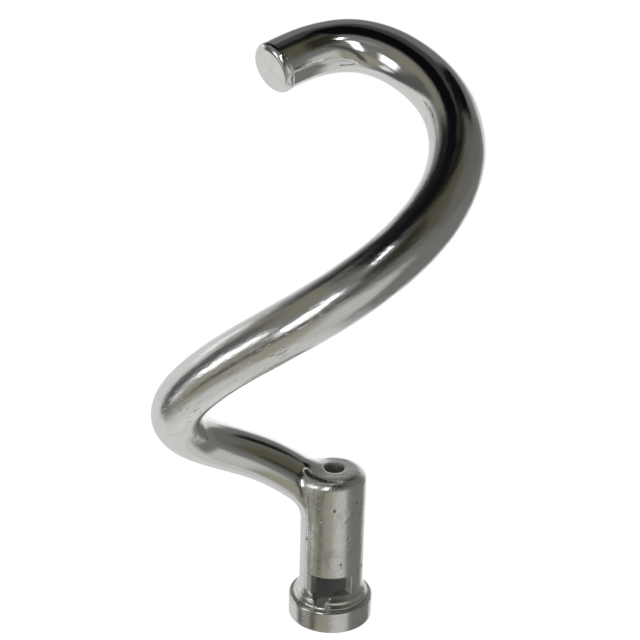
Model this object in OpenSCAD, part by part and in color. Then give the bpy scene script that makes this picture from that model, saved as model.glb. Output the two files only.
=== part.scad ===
// Spiral dough hook for a 20-quart planetary mixer.
// It stands on the mouth of its drive socket, as it is put down on a bench.
// Origin: centre of the mouth, on the socket's axis. +Z runs up the hub to the spiral.
// -Y is the side with the pin slot, and the arm leaves the hub towards -X.

/* [Hub] */
// Outside diameter of the hub
hub_d = 32; // [30:0.5:36]
// Height of the hub, from the mouth to its flat top
hub_h = 81; // [78:0.5:84]
// Radius of the rounding round the hub's top
hub_edge = 5.5; // [3:0.5:7]
// Diameter of the vent hole in the hub's top
vent_d = 10; // [8:0.5:12]

/* [Drive socket] */
// Diameter of the bore that takes the mixer's agitator shaft
bore_d = 22; // [18:0.5:23]
// Depth of the bore
bore_depth = 58; // [50:1:62]
// Diameter of the mixer's drive pin
pin_d = 8; // [6:0.5:8]
// Clearance all round the drive pin
pin_clearance = 0.6; // [0.4:0.1:1]
// Height of the ledge that the drive pin bears on
ledge_z = 18; // [16:0.5:20]
// Angle that the hook turns through to lock on the pin
lock_turn = 77; // [65:1:80]

/* [Collar] */
// Outside diameter of the ring round the mouth
collar_d = 42; // [41:0.5:46]
// Height of the ring
collar_h = 12; // [10:0.5:14]
// Thickness of the ring's wall
ring_wall = 2; // [1.5:0.25:2.5]

/* [Arm] */
// Thickness of the bar round the coil
bar_d = 25; // [24:0.5:26]
// Width of the oval that the coil's line is drawn round
coil_w = 122; // [118:1:126]
// Depth of the oval, from front to back
coil_d = 106; // [102:1:110]
// Height at which the coil starts, above the elbow
coil_low = 156; // [154:1:158]
// Rise of the coil for each step round the oval
coil_rise = 27; // [26:0.5:28]
// Radius of the rounding round the arm's tip
tip_edge = 3; // [1:0.5:4]

/* [Hidden] */
$fn = 96;

cut = 1;                               // overrun of every cut past the face it opens
hub_r = hub_d / 2;
bore_r = bore_d / 2;
collar_r = collar_d / 2;
ring_in_r = collar_r - ring_wall;

// Flange between the hub and the ring: two steps, the lower one rounded.
flange_top = ledge_z - 0.5;
step_r = hub_r + 1.5;
step_z = flange_top - 2;
flange_edge = 2;

// Pin slot: a keyway up from the mouth, then a window that turns to the right.
slot_r = pin_d / 2 + pin_clearance;
slot_reach = hub_r + 2;                // outermost radius of the keyway
window_top = ledge_z + pin_d + 2;
window_start = -128;                   // left side of the window, round from +X
keyway_angle = window_start + 21;

// The arm's line is a smooth curve drawn towards poles: x, y and z in the frame, then the
// section's thickness and its width. The first and the last pole set the directions in
// which the curve starts and ends.
COIL_CENTRE = [-7, -5];
COIL_START = 230;                      // bearing of the coil's first pole, round from +X
COIL_STEP = 40;                        // bearing from one pole of the coil to the next
COIL_POLES = 5;
coil_top = coil_low + coil_rise * (COIL_POLES - 1);

// From inside the hub, out to the left and round the elbow.
root_poles = [
    [ 40,  -5,  15, 22, 24],
    [  0,   0,  65, 22, 24],
    [-35,   5,  85, 22, 24],
    [-72,  -5,  96, 23, 24],
    [-77, -30, 125, 24, 24]
];
coil_poles = [for (k = [0 : COIL_POLES - 1])
    let (bearing = COIL_START + COIL_STEP * k) [
        COIL_CENTRE[0] + coil_w / 2 * cos(bearing),
        COIL_CENTRE[1] + coil_d / 2 * sin(bearing),
        coil_low + coil_rise * k,
        bar_d,
        bar_d
    ]];
// Over the crown and down to the tip.
tip_poles = [
    [  6,  50, coil_top + 19, bar_d, bar_d],
    [-36,  40, coil_top + 5, bar_d, bar_d],
    [-72, -20, coil_top - 19, bar_d, bar_d]
];
poles = concat(root_poles, coil_poles, tip_poles);
spans = len(poles) - 3;

SIDES = 32;                            // sides of the arm's section
RINGS = 64;                            // rings along the arm
TIP_RINGS = 4;                         // rings in the rounding of the tip

// Point of a uniform cubic B-spline at t, from 0 to spans: [x, y, z, thickness, width].
function line_at(t) =
    let (i = min(floor(t), spans - 1), u = t - i)
    (pow(1 - u, 3) * poles[i]
        + (3 * pow(u, 3) - 6 * pow(u, 2) + 4) * poles[i + 1]
        + (3 * u + 3 * pow(u, 2) - 3 * pow(u, 3) + 1) * poles[i + 2]
        + pow(u, 3) * poles[i + 3]) / 6;

function place(t) = let (p = line_at(t)) [p[0], p[1], p[2]];
function unit(v) = v / norm(v);
function heading(t) =
    let (t0 = max(t - 0.01, 0), t1 = min(t + 0.01, spans))
    unit(place(t1) - place(t0));

// One ring of the arm: an ellipse square to the line, its width kept level.
function ring(centre, along, thickness, width) =
    let (side = unit(cross(along, [0, 0, 1])), up = cross(side, along))
    [for (k = [0 : SIDES - 1])
        let (a = 360 * k / SIDES)
        centre + side * cos(a) * width / 2 + up * sin(a) * thickness / 2];

// The rounding of the tip: rings past the last station that shrink along a quarter circle.
function tip_ring(k) =
    let (
        a = 90 * k / TIP_RINGS,
        p = line_at(spans),
        along = heading(spans),
        shrink = 2 * tip_edge * (1 - cos(a))
    )
    ring(place(spans) + along * tip_edge * (sin(a) - 1), along, p[3] - shrink, p[4] - shrink);

arm_rings = concat(
    [for (k = [0 : RINGS - 2])
        let (t = spans * k / (RINGS - 1), p = line_at(t))
        ring(place(t), heading(t), p[3], p[4])],
    [for (k = [0 : TIP_RINGS]) tip_ring(k)]
);

// Closed tube through a list of rings.
module swept(rings) {
    last = len(rings) - 1;
    polyhedron(
        points = [for (r = rings) each r],
        faces = concat(
            [[for (k = [0 : SIDES - 1]) k]],
            [for (j = [0 : last - 1], k = [0 : SIDES - 1]) [
                j * SIDES + k,
                (j + 1) * SIDES + k,
                (j + 1) * SIDES + (k + 1) % SIDES,
                j * SIDES + (k + 1) % SIDES
            ]],
            [[for (k = [SIDES - 1 : -1 : 0]) last * SIDES + k]]
        )
    );
}

// Half section of the hub's outside: a round-topped post.
module post_section() {
    difference() {
        square([hub_r, hub_h]);
        translate([hub_r - hub_edge, hub_h - hub_edge])
            difference() {
                square(hub_edge + cut);
                circle(hub_edge);
            }
    }
}

module post() {
    rotate_extrude() post_section();
}

// Half section of the flange: a low step, a rounded shoulder and a short cone to the hub.
module flange_section() {
    square([ring_in_r, collar_h]);
    square([ring_in_r - flange_edge, step_z]);
    translate([ring_in_r - flange_edge, collar_h]) circle(flange_edge);
    polygon([[0, 0], [step_r, 0], [step_r, step_z], [hub_r, flange_top], [0, flange_top]]);
}

module flange() {
    rotate_extrude() flange_section();
}

// Keyway for the drive pin, from the mouth into the window, rounded on its outer side.
module keyway() {
    rotate([0, 0, keyway_angle])
        translate([slot_reach - slot_r, 0, -cut])
            cylinder(r = slot_r, h = cut + ledge_z + slot_r);
}

// Window that the pin turns into, with the ledge it bears on as its floor.
module window() {
    rotate([0, 0, window_start])
        rotate_extrude(angle = lock_turn)
            translate([bore_r - 2, ledge_z])
                square([hub_r - bore_r + 4, window_top - ledge_z]);
}

module hub() {
    color("silver")
        difference() {
            union() {
                post();
                flange();
            }
            translate([0, 0, -cut]) cylinder(d = bore_d, h = bore_depth + cut);
            translate([0, 0, bore_depth - cut]) cylinder(d = vent_d, h = hub_h);
            keyway();
            window();
        }
}

// Ring round the mouth, with rounded outer edges.
module collar_ring() {
    edge = 0.8;
    color("gainsboro")
        rotate_extrude()
            polygon(concat(
                [[ring_in_r, 0]],
                [for (a = [-90 : 15 : 0])
                    [collar_r - edge + edge * cos(a), edge + edge * sin(a)]],
                [for (a = [0 : 15 : 90])
                    [collar_r - edge + edge * cos(a), collar_h - edge + edge * sin(a)]],
                [[ring_in_r, collar_h]]
            ));
}

// The spiral arm, cut to the hub's outside where it joins it.
module hook_arm() {
    color("lightgray")
        difference() {
            swept(arm_rings);
            post();
        }
}

hub();
collar_ring();
hook_arm();
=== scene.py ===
"""Spiral dough hook, standing on the mouth of its hub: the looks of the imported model.

The hub and the arm are one casting with a filleted joint. It is made here as one skin:
a net drawn over a blended solid round the hub, stitched to a swept tube for the bar.
"""
import math

import bmesh
import bpy
import numpy as np
from mathutils import Matrix, Vector


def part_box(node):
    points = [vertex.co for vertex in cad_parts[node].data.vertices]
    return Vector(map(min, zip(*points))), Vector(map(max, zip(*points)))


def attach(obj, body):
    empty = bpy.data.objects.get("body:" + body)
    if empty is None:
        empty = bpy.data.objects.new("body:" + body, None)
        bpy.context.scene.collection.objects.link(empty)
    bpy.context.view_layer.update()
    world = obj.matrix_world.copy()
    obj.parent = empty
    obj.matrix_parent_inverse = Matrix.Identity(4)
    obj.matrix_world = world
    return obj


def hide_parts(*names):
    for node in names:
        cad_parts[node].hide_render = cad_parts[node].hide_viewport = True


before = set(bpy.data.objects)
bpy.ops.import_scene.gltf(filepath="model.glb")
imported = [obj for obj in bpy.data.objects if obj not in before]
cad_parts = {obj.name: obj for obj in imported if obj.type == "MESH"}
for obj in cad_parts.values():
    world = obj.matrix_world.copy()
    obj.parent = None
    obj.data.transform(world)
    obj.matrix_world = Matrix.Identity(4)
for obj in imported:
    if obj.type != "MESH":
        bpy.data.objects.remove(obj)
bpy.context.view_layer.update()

MM = 0.001

# ---------------------------------------------------------------- sizes, in millimetres
hub_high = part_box("hub")[1]
ring_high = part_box("collar_ring")[1]
HUB_R = 16.0
HUB_H = hub_high[2] / MM
HUB_EDGE = 5.5
BORE_R = 11.0
BORE_DEPTH = 58.0
VENT_R = 5.0
COLLAR_R = ring_high[0] / MM
COLLAR_H = ring_high[2] / MM
FLANGE_R = hub_high[0] / MM
SHOULDER_EDGE = 2.0
LEDGE_Z = 18.0
FLANGE_TOP = LEDGE_Z - 0.5
STEP_R = HUB_R + 1.5
STEP_Z = FLANGE_TOP - 2
STEP_EDGE = 0.4
CONE_SLOPE = 0.75       # narrowing of the flange's cone for each millimetre up
CONE_SCALE = 0.8        # turns a level gap from that cone into a distance square to it
WINDOW_H = 10.0
WINDOW_START = math.radians(-128)
WINDOW_TURN = math.radians(77)
SLOT_R = 4.6
SLOT_CENTRE_R = 13.4
SLOT_ANGLE = math.radians(-107)
TIP_EDGE = 3.0
FACE_RINGS = (0.85, 0.6, 0.35, 0.12)    # rings on the tip's flat end, as shares of its rim
PARTING_ANGLE = math.radians(-137)
PARTING_WIDTH = 0.7
PARTING_HEIGHT = 0.3
PARTING_START = (FLANGE_TOP, FLANGE_TOP + 2)    # heights over which the ridge fades in
PARTING_END = (HUB_H - 12, HUB_H - 6)           # heights over which it fades out

# Widths of the fillets and of the eased edges.
ROOT_BLEND = 5.0        # between the hub and the arm
STEP_FILLET = 0.6
HUB_FILLET = 0.8
CUT_EDGE = 0.5
KEYWAY_EDGE = 0.5
WINDOW_EDGE = 1.0
MOUTH_EDGE = 0.8
BORE_END_EDGE = 1.5

# How far one cut runs into the next, so that no skin is left between them.
VENT_LAP = 4
KEYWAY_LAP = 3
WINDOW_LAP = 2

# Poles of the arm's line, by the same rule as part.scad: x, y, z, thickness, width.
BAR_D = 25.0
COIL_CENTRE = (-7.0, -5.0)
COIL_W = 122.0
COIL_D = 106.0
COIL_LOW = 156.0
COIL_RISE = 27.0
COIL_START = 230
COIL_STEP = 40
COIL_POLES = 5
COIL_TOP = COIL_LOW + COIL_RISE * (COIL_POLES - 1)
ROOT_POLES = [
    (40, -5, 15, 22, 24),
    (0, 0, 65, 22, 24),
    (-35, 5, 85, 22, 24),
    (-72, -5, 96, 23, 24),
    (-77, -30, 125, 24, 24),
]
TIP_POLES = [
    (6, 50, COIL_TOP + 19, BAR_D, BAR_D),
    (-36, 40, COIL_TOP + 5, BAR_D, BAR_D),
    (-72, -20, COIL_TOP - 19, BAR_D, BAR_D),
]


def coil_pole(k):
    bearing = math.radians(COIL_START + COIL_STEP * k)
    x = COIL_CENTRE[0] + COIL_W / 2 * math.cos(bearing)
    y = COIL_CENTRE[1] + COIL_D / 2 * math.sin(bearing)
    return x, y, COIL_LOW + COIL_RISE * k, BAR_D, BAR_D


POLES = np.array(ROOT_POLES + [coil_pole(k) for k in range(COIL_POLES)] + TIP_POLES, float)
SPANS = len(POLES) - 3

NET_STEP = 0.6          # cell of the net round the hub
NET_LOW = (-48.0, -21.0, -1.5)
NET_HIGH = (20.5, 21.0, 102.0)
JOIN_T = 0.95           # where the net stops
JOIN_GAP = 0.02         # from there to the first ring of the swept tube
AROUND = 112            # points round the tube
ALONG = 420             # rings along the tube
COLLAR_STEPS = 192      # sections round the collar


# ---------------------------------------------------------------- the arm's line
def spline(t):
    """Rows of [x, y, z, thickness, width] of the cubic B-spline at the array t."""
    i = np.clip(np.floor(t).astype(int), 0, SPANS - 1)
    u = (t - i)[:, None]
    return (
        (1 - u) ** 3 * POLES[i]
        + (3 * u**3 - 6 * u**2 + 4) * POLES[i + 1]
        + (1 + 3 * u + 3 * u**2 - 3 * u**3) * POLES[i + 2]
        + u**3 * POLES[i + 3]
    ) / 6


def spline_slope(t):
    i = np.clip(np.floor(t).astype(int), 0, SPANS - 1)
    u = (t - i)[:, None]
    return (
        -3 * (1 - u) ** 2 * POLES[i]
        + (9 * u**2 - 12 * u) * POLES[i + 1]
        + (3 + 6 * u - 9 * u**2) * POLES[i + 2]
        + 3 * u**2 * POLES[i + 3]
    )[:, :3] / 6


def unit(v):
    return v / np.linalg.norm(v, axis=-1, keepdims=True)


def ramp(values, low, high):
    share = np.clip((values - low) / (high - low), 0, 1)
    return share * share * (3 - 2 * share)


def stations(t):
    """Centre, heading, level side and upward direction, half width and half thickness."""
    rows = spline(t)
    heading = unit(spline_slope(t))
    side = unit(np.cross(heading, (0.0, 0.0, 1.0)))
    up = np.cross(side, heading)
    return rows[:, :3], heading, side, up, rows[:, 4] / 2, rows[:, 3] / 2


FINE_T = np.linspace(0, SPANS, 2001)
LINE = spline(FINE_T)[:, :3]
LENGTH = np.r_[0, np.cumsum(np.linalg.norm(np.diff(LINE, axis=0), axis=1))]


def travelled(t):
    """Length of the line from the hub's axis to t."""
    return np.interp(t, FINE_T, LENGTH)


# ---------------------------------------------------------------- distance fields
def smooth_min(a, b, k):
    h = np.maximum(k - np.abs(a - b), 0) / k
    return np.minimum(a, b) - h * h * k / 4


def smooth_max(a, b, k):
    return -smooth_min(-a, -b, k)


ROOT_T = np.linspace(0, 2.2, 90)        # samples of the arm's line near the hub
WHOLE_T = np.linspace(0, SPANS, 400)    # samples of the whole line
CHUNK = 40000           # points that are compared with the samples at a time
NEAREST_ROUNDS = 2
ARM_OVERRUN = 2         # how far the arm's solid runs past the ends of its samples
SETTLE_LIMIT = 0.4      # furthest that one round of settling moves a point


def nearest_t(points, samples=ROOT_T):
    """Place on the arm's line nearest to each point, started from the nearest sample."""
    line = spline(samples)[:, :3]
    best = np.empty(len(points), int)
    for start in range(0, len(points), CHUNK):
        chunk = points[start:start + CHUNK]
        gap = (chunk**2).sum(1)[:, None] - 2 * chunk @ line.T + (line**2).sum(1)[None]
        best[start:start + CHUNK] = gap.argmin(1)
    t = samples[best]
    for _ in range(NEAREST_ROUNDS):
        slope = spline_slope(t)
        off = points - spline(t)[:, :3]
        t = np.clip(t + (off * slope).sum(1) / (slope**2).sum(1), 0, samples[-1])
    return t


def arm_field(points):
    centre, heading, side, up, half_w, half_h = stations(nearest_t(points))
    off = points - centre
    a = (off * side).sum(1)
    b = (off * up).sum(1)
    c = (off * heading).sum(1)
    k0 = np.sqrt((a / half_w) ** 2 + (b / half_h) ** 2) + 1e-9
    k1 = np.sqrt((a / half_w**2) ** 2 + (b / half_h**2) ** 2) + 1e-9
    return np.maximum(k0 * (k0 - 1) / k1, np.abs(c) - ARM_OVERRUN)


def round_post(r, z, radius, height, edge):
    """Distance to an upright post whose top edge is rounded. It has no bottom."""
    q_r = r - (radius - edge)
    q_z = z - (height - edge)
    outside = np.hypot(np.maximum(q_r, 0), np.maximum(q_z, 0))
    return outside + np.minimum(np.maximum(q_r, q_z), 0) - edge


def hub_body(points):
    """The hub's post and flange, before anything is cut from them."""
    r = np.hypot(points[:, 0], points[:, 1])
    z = points[:, 2]
    body = round_post(r, z, HUB_R, HUB_H, HUB_EDGE)
    shoulder = round_post(r, z, FLANGE_R, COLLAR_H + SHOULDER_EDGE, SHOULDER_EDGE)
    step = round_post(r, z, STEP_R, STEP_Z, STEP_EDGE)
    slant = (r - HUB_R + (z - FLANGE_TOP) * CONE_SLOPE) * CONE_SCALE
    cone = np.maximum(np.maximum(slant, z - FLANGE_TOP), r - STEP_R)
    flange = smooth_min(smooth_min(shoulder, step, STEP_FILLET), cone, STEP_FILLET)
    return smooth_min(body, flange, HUB_FILLET), r, z


def hub_cuts(points, r, z):
    """The bore, the vent, the keyway and the window as one hollow, negative inside it."""
    bore = smooth_max(r - BORE_R, z - BORE_DEPTH, BORE_END_EDGE)
    vent = np.maximum(r - VENT_R, BORE_DEPTH - VENT_LAP - z)
    slot_x = SLOT_CENTRE_R * math.cos(SLOT_ANGLE)
    slot_y = SLOT_CENTRE_R * math.sin(SLOT_ANGLE)
    slot = np.hypot(points[:, 0] - slot_x, points[:, 1] - slot_y) - SLOT_R
    keyway = np.maximum(slot, z - LEDGE_Z - KEYWAY_LAP)
    end = WINDOW_START + WINDOW_TURN
    left = points[:, 0] * math.sin(WINDOW_START) - points[:, 1] * math.cos(WINDOW_START)
    right = points[:, 1] * math.cos(end) - points[:, 0] * math.sin(end)
    floor = LEDGE_Z - z
    ceiling = z - LEDGE_Z - WINDOW_H
    window = smooth_max(np.maximum(left, right), np.maximum(floor, ceiling), WINDOW_EDGE)
    window = np.maximum(window, BORE_R - WINDOW_LAP - r)
    hollow = np.minimum(bore, vent)
    hollow = smooth_min(hollow, keyway, KEYWAY_EDGE)
    return np.minimum(hollow, window)


def parting_line(points, r, z):
    """Height of the thin ridge that the mould's joint leaves down the hub's left side."""
    turn = np.arctan2(points[:, 1], points[:, 0]) - PARTING_ANGLE
    across = np.abs(turn) * HUB_R / PARTING_WIDTH
    along = ramp(z, *PARTING_START) * (1 - ramp(z, *PARTING_END))
    return PARTING_HEIGHT * np.clip(1 - across, 0, 1) * along


def casting_field(points):
    body, r, z = hub_body(points)
    body = body - parting_line(points, r, z)
    solid = smooth_min(body, arm_field(points), ROOT_BLEND)
    solid = smooth_max(solid, -hub_cuts(points, r, z), CUT_EDGE)
    return smooth_max(solid, -z, MOUTH_EDGE)


# ---------------------------------------------------------------- net over a field
def surface_net(field, low, step):
    """Points and quads of a net over the zero level of a field sampled on a grid."""
    shape = np.array(field.shape)
    sums = np.zeros((field.size, 3))
    hits = np.zeros(field.size, int)
    quads = []
    strides = np.array([shape[1] * shape[2], shape[2], 1])
    for axis in range(3):
        first = np.moveaxis(field, axis, 0)[:-1]
        second = np.moveaxis(field, axis, 0)[1:]
        crossed = np.argwhere((first < 0) != (second < 0))
        value_a = first[tuple(crossed.T)]
        value_b = second[tuple(crossed.T)]
        index = np.empty_like(crossed)
        others = [k for k in range(3) if k != axis]
        index[:, axis] = crossed[:, 0]
        index[:, others[0]] = crossed[:, 1]
        index[:, others[1]] = crossed[:, 2]
        inner = (index[:, others] > 0).all(1)
        index, value_a, value_b = index[inner], value_a[inner], value_b[inner]
        point = index.astype(float)
        point[:, axis] += value_a / (value_a - value_b)
        base = index @ strides
        u, v = strides[others[0]], strides[others[1]]
        cells = np.stack([base - u - v, base - v, base, base - u], 1)
        for k in range(4):
            np.add.at(sums, cells[:, k], point)
            np.add.at(hits, cells[:, k], 1)
        flip = (value_a > 0) ^ (axis == 1)
        cells[flip] = cells[flip][:, ::-1]
        quads.append(cells)
    quads = np.concatenate(quads)
    used = np.unique(quads)
    number = np.zeros(field.size, int)
    number[used] = np.arange(len(used))
    points = sums[used] / hits[used][:, None] * step + np.array(low)
    return points, number[quads]


def slope_of(field, points, gap=0.02):
    """Gradient of a field at points, by central differences."""
    parts = []
    for axis in range(3):
        step = np.zeros(3)
        step[axis] = gap
        parts.append((field(points + step) - field(points - step)) / (2 * gap))
    return np.stack(parts, 1)


def settle(field, points, rounds=3):
    """Moves points onto the zero level of a field."""
    for _ in range(rounds):
        slope = slope_of(field, points)
        move = field(points)[:, None] * slope / ((slope**2).sum(1)[:, None] + 1e-9)
        points = points - np.clip(move, -SETTLE_LIMIT, SETTLE_LIMIT)
    return points


# ---------------------------------------------------------------- finish left by hand grinding
WAVE_LENGTHS = (46, 31, 22, 13)
WAVE_DEPTH = 0.09
MOUTH_FADE = 2          # height over which the grinding fades in above the mouth
DRAG_ANGLE = -0.9       # side of the bar that drag marks cover, round from its level side

# What the material is told, as pairs of values between which each mark comes or goes.
CAST_FADE = (-5.0, 2.0)         # polished to cast, by distance from the arm less that from the hub
CUT_FADE = (0.1, 0.6)           # by distance from a machined cut
DRAG_FADE = (0.3, 0.8)          # by how squarely a point faces the side with drag marks
DRAG_START, DRAG_STOP = (95, 130), (260, 320)   # by length along the bar
WORN_START, WORN_STOP = (40, 110), (260, 350)
FULL_PIT = 0.25                 # depth at which a pit is fully dark
GRAIN_R = 12                    # radius that the belt's marks are wrapped on
NEAR_HUB_R = 40                 # beyond it, a point is on the arm and on no cut
FAR = 5.0                       # distance given to the points out there

# Casting pits in the hub's side: angle round it in degrees, height, radius and depth.
PITS = (
    (-88, 66, 0.9, 0.45),
    (-112, 60, 0.9, 0.45),
    (-72, 36, 0.8, 0.4),
    (-60, 50, 0.7, 0.3),
    (-44, 68, 0.8, 0.35),
    (-140, 47, 0.8, 0.35),
    (-20, 30, 0.9, 0.4),
    (35, 58, 0.9, 0.4),
    (80, 40, 0.8, 0.4),
    (150, 26, 0.9, 0.45),
)


def waves(coordinates, lengths, seed):
    """Smooth, seeded, uneven waves between about -1 and 1."""
    rng = np.random.default_rng(seed)
    total = np.zeros(len(coordinates))
    for length in lengths:
        for _ in range(3):
            direction = unit(rng.normal(size=coordinates.shape[1]))
            phase = rng.uniform(0, 2 * math.pi)
            total += np.sin(coordinates @ direction * 2 * math.pi / length + phase)
    return total / (3 * math.sqrt(len(lengths)))


def pit_depth(points):
    depths = np.zeros(len(points))
    for angle, height, radius, depth in PITS:
        turn = math.radians(angle)
        centre = np.array([HUB_R * math.cos(turn), HUB_R * math.sin(turn), height])
        gap = np.linalg.norm(points - centre, axis=1) / radius
        depths += depth * np.clip(1 - gap**2, 0, 1)
    return depths


def hand_ground(points, normals):
    """Takes a little metal off unevenly, as a hand-held belt does, and sinks the pits."""
    push = (waves(points, WAVE_LENGTHS, seed=11) - 1) * WAVE_DEPTH - pit_depth(points)
    fade = np.clip(points[:, 2] / MOUTH_FADE, 0, 1)
    return points + normals * (push * fade)[:, None]


# ---------------------------------------------------------------- meshes
def net_mesh():
    """bmesh of the hub and the arm's root, open where the tube takes over."""
    low, high = np.array(NET_LOW), np.array(NET_HIGH)
    counts = np.ceil((high - low) / NET_STEP).astype(int) + 1
    axes = [low[k] + NET_STEP * np.arange(counts[k]) for k in range(3)]
    grid = np.stack(np.meshgrid(*axes, indexing="ij"), -1).reshape(-1, 3)
    field = casting_field(grid).reshape(counts)
    points, quads = surface_net(field, low, NET_STEP)
    points = settle(casting_field, points)
    mesh = bmesh.new()
    verts = [mesh.verts.new(p) for p in points]
    for quad in quads:
        mesh.faces.new([verts[k] for k in quad])
    centre, heading = (part[0] for part in stations(np.array([JOIN_T]))[:2])
    bmesh.ops.bisect_plane(
        mesh,
        geom=mesh.verts[:] + mesh.edges[:] + mesh.faces[:],
        plane_co=centre,
        plane_no=heading,
        clear_outer=True,
        dist=1e-4,
    )
    return mesh


def section_angle(points, t):
    """Angle of each point round the bar's section. The array t has one value, or one a point."""
    centre, _, side, up, half_w, half_h = stations(t)
    off = points - centre
    return np.arctan2((off * up).sum(1) / half_h, (off * side).sum(1) / half_w)


def tube_rings():
    """Rings of points along the bar, from just past the net to the tip's flat end."""
    t = np.linspace(JOIN_T + JOIN_GAP, SPANS, ALONG)
    t = t[travelled(t) < LENGTH[-1] - TIP_EDGE]
    centre, heading, side, up, half_w, half_h = stations(t)
    angle = np.linspace(-math.pi, math.pi, AROUND, endpoint=False)
    rings = [
        centre[k]
        + np.outer(np.cos(angle), side[k]) * half_w[k]
        + np.outer(np.sin(angle), up[k]) * half_h[k]
        for k in range(len(t))
    ]
    at_end = stations(np.array([float(SPANS)]))
    end, ahead, level, above, end_w, end_h = (part[0] for part in at_end)
    for turn in np.radians(np.arange(0, 91, 9)):
        shrink = TIP_EDGE * (1 - math.cos(turn))
        middle = end + ahead * TIP_EDGE * (math.sin(turn) - 1)
        rings.append(
            middle
            + np.outer(np.cos(angle), level) * (end_w - shrink)
            + np.outer(np.sin(angle), above) * (end_h - shrink)
        )
    face = rings[-1].mean(0)
    rim = rings[-1]
    for share in FACE_RINGS:
        rings.append(face + (rim - face) * share)
    return rings, face


def stitch(mesh, loop, ring):
    """Joins two closed loops of vertices, each given with its rising angles, by triangles."""
    i, j = 0, 0
    while i < len(loop) or j < len(ring):
        a, b = loop[i % len(loop)], ring[j % len(ring)]
        next_a = loop[(i + 1) % len(loop)][0] + 2 * math.pi * ((i + 1) // len(loop))
        next_b = ring[(j + 1) % len(ring)][0] + 2 * math.pi * ((j + 1) // len(ring))
        if j >= len(ring) or (i < len(loop) and next_a < next_b):
            mesh.faces.new((a[1], b[1], loop[(i + 1) % len(loop)][1]))
            i += 1
        else:
            mesh.faces.new((a[1], b[1], ring[(j + 1) % len(ring)][1]))
            j += 1


def casting_mesh():
    mesh = net_mesh()
    rings, face = tube_rings()
    edge_verts = {v for e in mesh.edges if e.is_boundary for v in e.verts}
    edge_points = np.array([v.co for v in edge_verts])
    angles = section_angle(edge_points, np.array([JOIN_T]))
    loop = sorted(zip(angles, edge_verts), key=lambda pair: pair[0])
    rows = [[mesh.verts.new(p) for p in ring] for ring in rings]
    angles = np.linspace(-math.pi, math.pi, AROUND, endpoint=False)
    stitch(mesh, loop, list(zip(angles, rows[0])))
    for low, high in zip(rows, rows[1:]):
        for k in range(AROUND):
            n = (k + 1) % AROUND
            mesh.faces.new((low[k], high[k], high[n], low[n]))
    tip = mesh.verts.new(face)
    for k in range(AROUND):
        mesh.faces.new((rows[-1][k], tip, rows[-1][(k + 1) % AROUND]))
    bmesh.ops.recalc_face_normals(mesh, faces=mesh.faces[:])
    mesh.normal_update()
    return mesh


def make_object(name, mesh):
    """Scales a bmesh in millimetres to metres and links it as a smooth object."""
    data = bpy.data.meshes.new(name)
    bmesh.ops.scale(mesh, vec=(MM, MM, MM), verts=mesh.verts[:])
    mesh.to_mesh(data)
    mesh.free()
    data.shade_smooth()
    piece = bpy.data.objects.new(name, data)
    bpy.context.scene.collection.objects.link(piece)
    return piece


def store(piece, name, values):
    """Keeps one number or one vector for each point of a mesh, for its material."""
    kind = "FLOAT" if values.ndim == 1 else "FLOAT_VECTOR"
    layer = piece.data.attributes.new(name, kind, "POINT")
    layer.data.foreach_set("value" if values.ndim == 1 else "vector", values.ravel())


def mark_casting(piece, points):
    """Stores the belt's direction, and where the metal is cast, pitted, worn, cut or dragged."""
    t = nearest_t(points, WHOLE_T)
    angle = section_angle(points, t)
    along = travelled(t)
    grain = np.stack([along, GRAIN_R * np.cos(angle), GRAIN_R * np.sin(angle)], 1)
    body, r, z = hub_body(points)
    near_hub = r < NEAR_HUB_R
    arm = np.full(len(points), -FAR)
    cuts = np.full(len(points), FAR)
    arm[near_hub] = arm_field(points[near_hub])
    cuts[near_hub] = hub_cuts(points[near_hub], r[near_hub], z[near_hub])
    store(piece, "grain", grain)
    store(piece, "cast", ramp(arm - np.maximum(body, 0), *CAST_FADE))
    store(piece, "pit", np.clip(pit_depth(points) / FULL_PIT, 0, 1))
    store(piece, "worn", ramp(along, *WORN_START) * (1 - ramp(along, *WORN_STOP)))
    store(piece, "cut", 1 - ramp(cuts, *CUT_FADE))
    facing = ramp(np.cos(angle - DRAG_ANGLE), *DRAG_FADE)
    reach = ramp(along, *DRAG_START) * (1 - ramp(along, *DRAG_STOP))
    store(piece, "drag", facing * reach)


def casting():
    mesh = casting_mesh()
    points = np.array([v.co for v in mesh.verts])
    normals = np.array([v.normal for v in mesh.verts])
    for vert, place in zip(mesh.verts, hand_ground(points, normals)):
        vert.co = place
    piece = make_object("casting", mesh)
    mark_casting(piece, points)
    piece.data.materials.append(cast_and_polished())
    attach(piece, "root")
    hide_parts("hub", "hook_arm")


def revolved(profile, steps):
    """Closed ring whose half section is a loop of (radius, height) points."""
    mesh = bmesh.new()
    rows = []
    for k in range(steps):
        turn = 2 * math.pi * k / steps
        cos, sin = math.cos(turn), math.sin(turn)
        rows.append([mesh.verts.new((r * cos, r * sin, z)) for r, z in profile])
    count = len(profile)
    for k in range(steps):
        near, far = rows[k], rows[(k + 1) % steps]
        for j in range(count):
            n = (j + 1) % count
            mesh.faces.new((near[j], far[j], far[n], near[n]))
    bmesh.ops.recalc_face_normals(mesh, faces=mesh.faces[:])
    return mesh


def corner(r, z, radius, start):
    """Points of a quarter circle round (r, z), from the angle start, in degrees."""
    angles = np.radians(np.arange(start, start + 91, 15))
    return [(r + radius * math.cos(a), z + radius * math.sin(a)) for a in angles]


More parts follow.
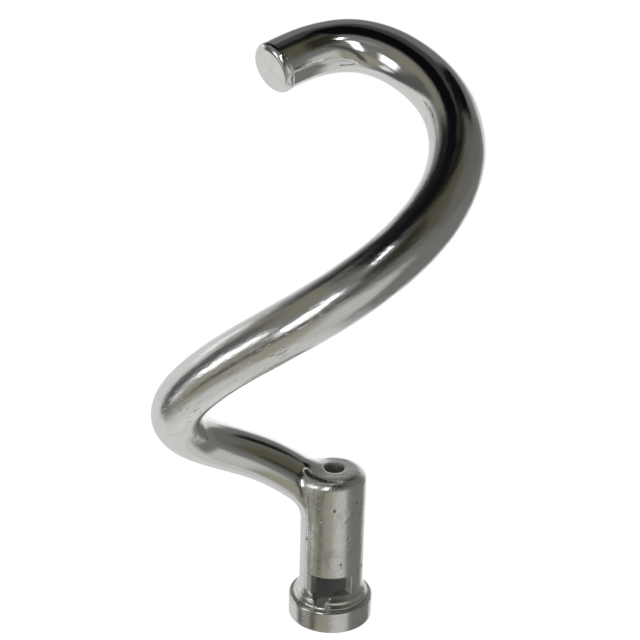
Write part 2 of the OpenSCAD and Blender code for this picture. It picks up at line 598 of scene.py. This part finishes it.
def collar():
    low_edge, high_edge, inner_edge = 1.0, 1.1, 0.35
    profile = corner(COLLAR_R - low_edge, low_edge, low_edge, -90)
    profile += [(COLLAR_R, z) for z in np.linspace(low_edge + 1, COLLAR_H - high_edge - 1, 7)]
    profile += corner(COLLAR_R - high_edge, COLLAR_H - high_edge, high_edge, 0)
    profile += corner(FLANGE_R + inner_edge, COLLAR_H - inner_edge, inner_edge, 90)
    profile += [(FLANGE_R, COLLAR_H / 2), (FLANGE_R, 0.0)]
    piece = make_object("collar", revolved(profile, COLLAR_STEPS))
    piece.data.materials.append(turned_metal())
    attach(piece, "root")
    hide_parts("collar_ring")


# ---------------------------------------------------------------- materials
class Graph:
    """Short calls for building a node tree."""

    def __init__(self, tree):
        self.tree = tree

    def add(self, kind, **settings):
        node = self.tree.nodes.new(kind)
        for name, value in settings.items():
            setattr(node, name, value)
        return node

    def feed(self, socket, value):
        if isinstance(value, bpy.types.NodeSocket):
            self.tree.links.new(value, socket)
        else:
            socket.default_value = value

    def math(self, operation, a, b=0.0):
        node = self.add("ShaderNodeMath", operation=operation)
        self.feed(node.inputs[0], a)
        self.feed(node.inputs[1], b)
        return node.outputs[0]

    def ramp(self, value, low, high, out_low=0.0, out_high=1.0):
        node = self.add("ShaderNodeMapRange", interpolation_type="SMOOTHSTEP")
        for socket, item in zip(node.inputs, (value, low, high, out_low, out_high)):
            self.feed(socket, item)
        return node.outputs[0]

    def mix(self, share, a, b):
        """Colour between a and b."""
        node = self.add("ShaderNodeMix", data_type="RGBA")
        self.feed(node.inputs[0], share)
        self.feed(node.inputs[6], a)
        self.feed(node.inputs[7], b)
        return node.outputs[2]

    def blend(self, share, a, b):
        """Number between a and b."""
        node = self.add("ShaderNodeMix", data_type="FLOAT")
        self.feed(node.inputs[0], share)
        self.feed(node.inputs[2], a)
        self.feed(node.inputs[3], b)
        return node.outputs[0]

    def stored(self, name, vector=False):
        node = self.add("ShaderNodeAttribute", attribute_name=name)
        return node.outputs["Vector" if vector else "Fac"]

    def noise(self, place, scale, detail=2.0, roughness=0.5):
        """Noise from 0 to 1. The scale is one number or three, in cells per unit."""
        if not isinstance(scale, tuple):
            scale = (scale, scale, scale)
        mapping = self.add("ShaderNodeMapping")
        self.feed(mapping.inputs["Vector"], place)
        mapping.inputs["Scale"].default_value = scale
        node = self.add("ShaderNodeTexNoise")
        self.feed(node.inputs["Vector"], mapping.outputs[0])
        node.inputs["Scale"].default_value = 1.0
        node.inputs["Detail"].default_value = detail
        node.inputs["Roughness"].default_value = roughness
        return node.outputs["Fac"]

    def place_mm(self):
        """Place on the object, in millimetres."""
        scale = self.add("ShaderNodeVectorMath", operation="SCALE")
        self.feed(scale.inputs[0], self.add("ShaderNodeTexCoord").outputs["Object"])
        scale.inputs["Scale"].default_value = 1 / MM
        return scale.outputs[0]

    def swing(self, noise, size):
        """A noise turned into a height of that size, in millimetres, about zero."""
        return self.math("MULTIPLY", self.math("SUBTRACT", noise, 0.5), size)

    def bump(self, height_mm):
        node = self.add("ShaderNodeBump")
        node.inputs["Distance"].default_value = MM
        self.feed(node.inputs["Height"], height_mm)
        return node.outputs[0]


POLISHED_DULL = (0.86, 0.86, 0.85, 1)
POLISHED_PALE = (0.91, 0.91, 0.9, 1)
SCAR_GREY = (0.4, 0.4, 0.4, 1)
CAST_PALE = (0.9, 0.9, 0.885, 1)
CAST_STAIN = (0.72, 0.72, 0.705, 1)
PIT_GREY = (0.25, 0.25, 0.25, 1)
CUT_PALE = (0.75, 0.75, 0.74, 1)
TURNED_PALE = (0.88, 0.88, 0.87, 1)
TURNED_STAIN = (0.74, 0.74, 0.72, 1)
PINHOLE_GREY = (0.3, 0.3, 0.3, 1)
ARM_ROUGH = (0.05, 0.14)
HUB_ROUGH = (0.2, 0.33)
COLLAR_ROUGH = (0.14, 0.25)
WORN_ROUGH = 0.09       # added where the bar is worn
SCAR_ROUGH = 0.3        # added in a drag mark
CUT_ROUGH = 0.6


def metal(name):
    """A new metallic material: its graph and its shader's inputs."""
    material = bpy.data.materials.new(name)
    material.use_nodes = True
    inputs = material.node_tree.nodes["Principled BSDF"].inputs
    inputs["Metallic"].default_value = 1
    return material, Graph(material.node_tree), inputs


def cast_and_polished():
    """Aluminium: belt-polished on the arm, burnished as cast on the hub."""
    material, g, inputs = metal("cast_and_polished_aluminium")
    grain = g.stored("grain", vector=True)
    place = g.place_mm()
    cast = g.stored("cast")
    cut = g.stored("cut")
    drag = g.stored("drag")
    worn = g.stored("worn")
    pit = g.stored("pit")

    belt = g.noise(grain, (0.06, 1.8, 1.8), detail=4)
    peel = g.noise(grain, (0.25, 0.7, 0.7), detail=3, roughness=0.6)
    patchy = g.noise(grain, (0.02, 0.12, 0.12), detail=1)
    scars = g.noise(grain, (0.16, 1.1, 1.1), detail=3, roughness=0.65)
    scar_field = g.noise(grain, (0.03, 0.14, 0.14), detail=1)
    scar = g.ramp(scars, 0.6, 0.68)
    scar = g.math("MULTIPLY", scar, g.ramp(scar_field, 0.46, 0.58))
    scar = g.math("MULTIPLY", scar, drag)

    skin = g.noise(place, 0.9, detail=3, roughness=0.6)
    lumps = g.noise(place, (0.28, 0.28, 0.12), detail=2)
    stain = g.noise(place, (0.16, 0.16, 0.1), detail=4, roughness=0.6)
    pinholes = g.ramp(g.noise(place, 0.55, detail=3, roughness=0.7), 0.66, 0.72)

    polished = g.mix(g.ramp(patchy, 0.35, 0.65), POLISHED_DULL, POLISHED_PALE)
    polished = g.mix(scar, polished, SCAR_GREY)
    as_cast = g.mix(g.ramp(stain, 0.5, 0.68), CAST_PALE, CAST_STAIN)
    specks = g.math("MAXIMUM", g.math("MULTIPLY", pinholes, 0.6), pit)
    as_cast = g.mix(specks, as_cast, PIT_GREY)
    colour = g.mix(cast, polished, as_cast)
    g.feed(inputs["Base Color"], g.mix(cut, colour, CUT_PALE))

    arm_rough = g.ramp(belt, 0.3, 0.75, *ARM_ROUGH)
    arm_rough = g.math("ADD", arm_rough, g.math("MULTIPLY", worn, WORN_ROUGH))
    arm_rough = g.math("ADD", arm_rough, g.math("MULTIPLY", scar, SCAR_ROUGH))
    hub_rough = g.ramp(skin, 0.3, 0.7, *HUB_ROUGH)
    rough = g.blend(cast, arm_rough, hub_rough)
    g.feed(inputs["Roughness"], g.blend(cut, rough, CUT_ROUGH))

    peel_share = g.math("ADD", g.math("MULTIPLY", worn, 0.7), 0.3)
    arm_height = g.math("MULTIPLY", g.swing(peel, 0.1), peel_share)
    arm_height = g.math("ADD", arm_height, g.swing(belt, 0.008))
    arm_height = g.math("SUBTRACT", arm_height, g.math("MULTIPLY", scar, 0.12))
    hub_height = g.math("ADD", g.swing(skin, 0.03), g.swing(lumps, 0.12))
    hub_height = g.math("SUBTRACT", hub_height, g.math("MULTIPLY", pinholes, 0.1))
    g.feed(inputs["Normal"], g.bump(g.blend(cast, arm_height, hub_height)))
    return material


def turned_metal():
    """Turned aluminium with fine lines round it, a little stained and dented."""
    material, g, inputs = metal("turned_aluminium")
    place = g.place_mm()
    lines = g.noise(place, (0.02, 0.02, 3.0), detail=3)
    stain = g.noise(place, 0.22, detail=3, roughness=0.6)
    dents = g.noise(place, 0.3, detail=2)
    pinholes = g.ramp(g.noise(place, 0.6, detail=3, roughness=0.7), 0.68, 0.73)
    colour = g.mix(g.ramp(stain, 0.45, 0.7), TURNED_PALE, TURNED_STAIN)
    colour = g.mix(g.math("MULTIPLY", pinholes, 0.5), colour, PINHOLE_GREY)
    g.feed(inputs["Base Color"], colour)
    g.feed(inputs["Roughness"], g.ramp(lines, 0.3, 0.7, *COLLAR_ROUGH))
    height = g.math("ADD", g.swing(lines, 0.008), g.swing(dents, 0.06))
    height = g.math("SUBTRACT", height, g.math("MULTIPLY", pinholes, 0.08))
    g.feed(inputs["Normal"], g.bump(height))
    return material


# ---------------------------------------------------------------- studio
FLOOR_RADIUS = 3.0      # in metres
LENS = 71.0
CAMERA_PLACE = (0, -0.55, 0.3647)
LAMP_PLACE = (-0.045, -0.245, 0.5)
LAMP_AIM = (0, 0.03, 0.28)
WHITE = (1, 1, 1)

# The room that the metal reflects: soft patches painted in order over a grey, so that the
# bar shows broad bands of light and dark. Each patch has its bearing and its elevation from
# and to, in degrees, the softness of its sides and of its ends, how far it leans, its colour
# and its strength. Bearing 0 is the side of the camera, 90 is +X.
ROOM_GREY = (0.16, 0.16, 0.155)
ROOM = (
    ("ground", (-200, 200), (-100, -54), 1, 26, 0, (0.56, 0.56, 0.55), 1),
    ("warm ground", (-75, 10), (-56, -14), 40, 20, 0, (0.3, 0.29, 0.23), 1),
    ("pale ground", (2, 54), (-58, -6), 20, 18, 0, (0.5, 0.5, 0.475), 1),
    ("dim ground", (56, 158), (-58, 0), 24, 26, 0, (0.165, 0.165, 0.158), 1),
    ("left wall", (-224, -97), (-100, 20), 6, 24, 0, (0.64, 0.64, 0.63), 1),
    ("bright back", (156, 196), (-42, 16), 18, 14, 0, WHITE, 1),
    ("olive wall", (-6, 122), (20, 84), 16, 28, 0, (0.085, 0.08, 0.055), 1),
    ("right wall", (62, 122), (8, 48), 20, 18, 0, (0.13, 0.127, 0.112), 1),
    ("dark door", (-8, 34), (24, 62), 16, 18, 0, (0.025, 0.024, 0.016), 1),
    ("grey frame", (84, 110), (44, 66), 14, 16, 0, (0.117, 0.117, 0.107), 1),
    ("warm band", (-104, -48), (20, 50), 14, 12, 0, (0.2, 0.19, 0.15), 1),
    ("dark post", (-100, -78), (-36, 30), 10, 16, 0.1, (0.09, 0.09, 0.09), 1),
    ("camera stand", (-29, -13), (-40, 18), 8, 14, 1.2, (0.07, 0.07, 0.066), 1),
    ("ceiling", (-152, -5), (54, 120), 12, 12, 0, (0.003, 0.003, 0.004), 1),
    ("ceiling edge", (-152, -106), (36, 60), 20, 18, 0, (0.009, 0.009, 0.01), 1),
    ("right ceiling", (-8, 112), (70, 120), 20, 16, 0, (0.009, 0.009, 0.006), 1),
    ("ceiling gap", (114, 146), (44, 120), 10, 12, 0, (0.003, 0.003, 0.004), 1),
    ("back ceiling", (146, 210), (64, 120), 14, 18, 0, (0.045, 0.045, 0.045), 1),
    ("window streak", (-130, -114), (12, 24), 8, 6, -1, WHITE, 1),
    ("low lamp", (-82, -71), (-31, -18), 6, 5, 0, WHITE, 0.85),
    ("left lamp", (-71, -55), (-12, 11), 7, 8, 0.4, WHITE, 1.6),
    ("right lamp", (-32, -21), (-4, 26), 4, 6, 0.42, WHITE, 3),
    ("top lamp", (-45, -28), (29, 38), 6, 6, 0, WHITE, 0.25),
)


def studio_camera():
    """In front of the hook and a little above its top, looking down at it."""
    data = bpy.data.cameras.new("camera")
    data.lens = LENS
    data.sensor_width = 36.0
    camera = bpy.data.objects.new("camera", data)
    bpy.context.scene.collection.objects.link(camera)
    tilt, pan, roll = 0.36, -0.016, 0.026
    level = math.cos(tilt)
    ahead = Vector((math.sin(pan) * level, math.cos(pan) * level, -math.sin(tilt)))
    right = Vector((math.cos(pan), -math.sin(pan), 0))
    above = right.cross(ahead)
    right_rolled = right * math.cos(roll) + above * math.sin(roll)
    above_rolled = above * math.cos(roll) - right * math.sin(roll)
    turn = Matrix((right_rolled, above_rolled, -ahead)).transposed()
    camera.matrix_world = Matrix.Translation(CAMERA_PLACE) @ turn.to_4x4()
    bpy.context.scene.camera = camera


def room_patch(g, bearing, elevation, patch):
    """How much one patch of the room covers the direction, from 0 to 1."""
    _, (left, right), (low, high), side_soft, end_soft, lean, _, _ = patch
    middle = (low + high) / 2
    shift = g.math("MULTIPLY", g.math("SUBTRACT", elevation, middle), lean)
    leaned = g.math("SUBTRACT", bearing, shift)
    away = g.math("WRAP", g.math("SUBTRACT", leaned, (left + right) / 2), 180.0)
    away.node.inputs[2].default_value = -180.0
    half = (right - left) / 2
    away = g.math("ABSOLUTE", away)
    inside = g.ramp(away, half - side_soft / 2, half + side_soft / 2, 1.0, 0.0)
    above = g.ramp(elevation, low - end_soft / 2, low + end_soft / 2)
    below = g.ramp(elevation, high - end_soft / 2, high + end_soft / 2, 1.0, 0.0)
    return g.math("MULTIPLY", inside, g.math("MULTIPLY", above, below))


def studio_world():
    """A pure white backdrop, and the room that the polished metal reflects."""
    world = bpy.data.worlds.new("studio")
    bpy.context.scene.world = world
    bpy.context.scene.view_settings.view_transform = "Standard"
    world.use_nodes = True
    g = Graph(world.node_tree)
    split = g.add("ShaderNodeSeparateXYZ")
    g.feed(split.inputs[0], g.add("ShaderNodeTexCoord").outputs["Generated"])
    x, y, z = split.outputs
    degrees = 180 / math.pi
    bearing = g.math("MULTIPLY", g.math("ARCTAN2", x, g.math("MULTIPLY", y, -1.0)), degrees)
    elevation = g.math("MULTIPLY", g.math("ARCSINE", z), degrees)
    colour = (*ROOM_GREY, 1)
    for patch in ROOM:
        tint, strength = patch[-2:]
        painted = tuple(part * strength for part in tint) + (1,)
        colour = g.mix(room_patch(g, bearing, elevation, patch), colour, painted)
    seen = g.add("ShaderNodeLightPath").outputs["Is Camera Ray"]
    background = world.node_tree.nodes["Background"].inputs["Color"]
    g.feed(background, g.mix(seen, colour, (*WHITE, 1)))


def matt_disc(name, radius, material_name, grey, glow):
    """Flat disc at the floor's height, its radius in millimetres, with some light of its own."""
    mesh = bmesh.new()
    bmesh.ops.create_circle(mesh, cap_ends=True, segments=96, radius=radius)
    disc = make_object(name, mesh)
    material = bpy.data.materials.new(material_name)
    material.use_nodes = True
    inputs = material.node_tree.nodes["Principled BSDF"].inputs
    inputs["Base Color"].default_value = (grey, grey, grey, 1)
    inputs["Roughness"].default_value = 1
    inputs["Emission Color"].default_value = (*WHITE, 1)
    inputs["Emission Strength"].default_value = glow
    disc.data.materials.append(material)
    return disc


def studio_floor():
    """Pale floor, hidden from the metal's reflections, which see the room's own ground."""
    floor = matt_disc("floor", FLOOR_RADIUS / MM, "pale_floor", grey=0.9, glow=0.92)
    floor.visible_glossy = False


def shade_in_mouth():
    """Patch of the floor that the hub's mouth shades from the room."""
    # Painted shadow: a darker grey patch laid over the floor under the mouth. Its faint glow is
    # painted light that brightens the inside of the bore.
    disc = matt_disc("shade", FLANGE_R - 0.5, "shaded_floor", grey=0.5, glow=0.06)
    disc.location.z = 0.1 * MM


def small_lamp():
    """Round lamp above and in front, which gives the spiral's top its small highlight."""
    data = bpy.data.lights.new("small_lamp", "AREA")
    data.shape = "DISK"
    data.size = 0.04
    data.energy = 0.03
    lamp = bpy.data.objects.new("small_lamp", data)
    place = Vector(LAMP_PLACE)
    aim = Vector(LAMP_AIM) - place
    turn = aim.to_track_quat("-Z", "Y").to_matrix()
    lamp.matrix_world = Matrix.Translation(place) @ turn.to_4x4()
    lamp.visible_camera = False
    bpy.context.scene.collection.objects.link(lamp)


studio_camera()
studio_world()
studio_floor()
shade_in_mouth()
small_lamp()
casting()
collar()
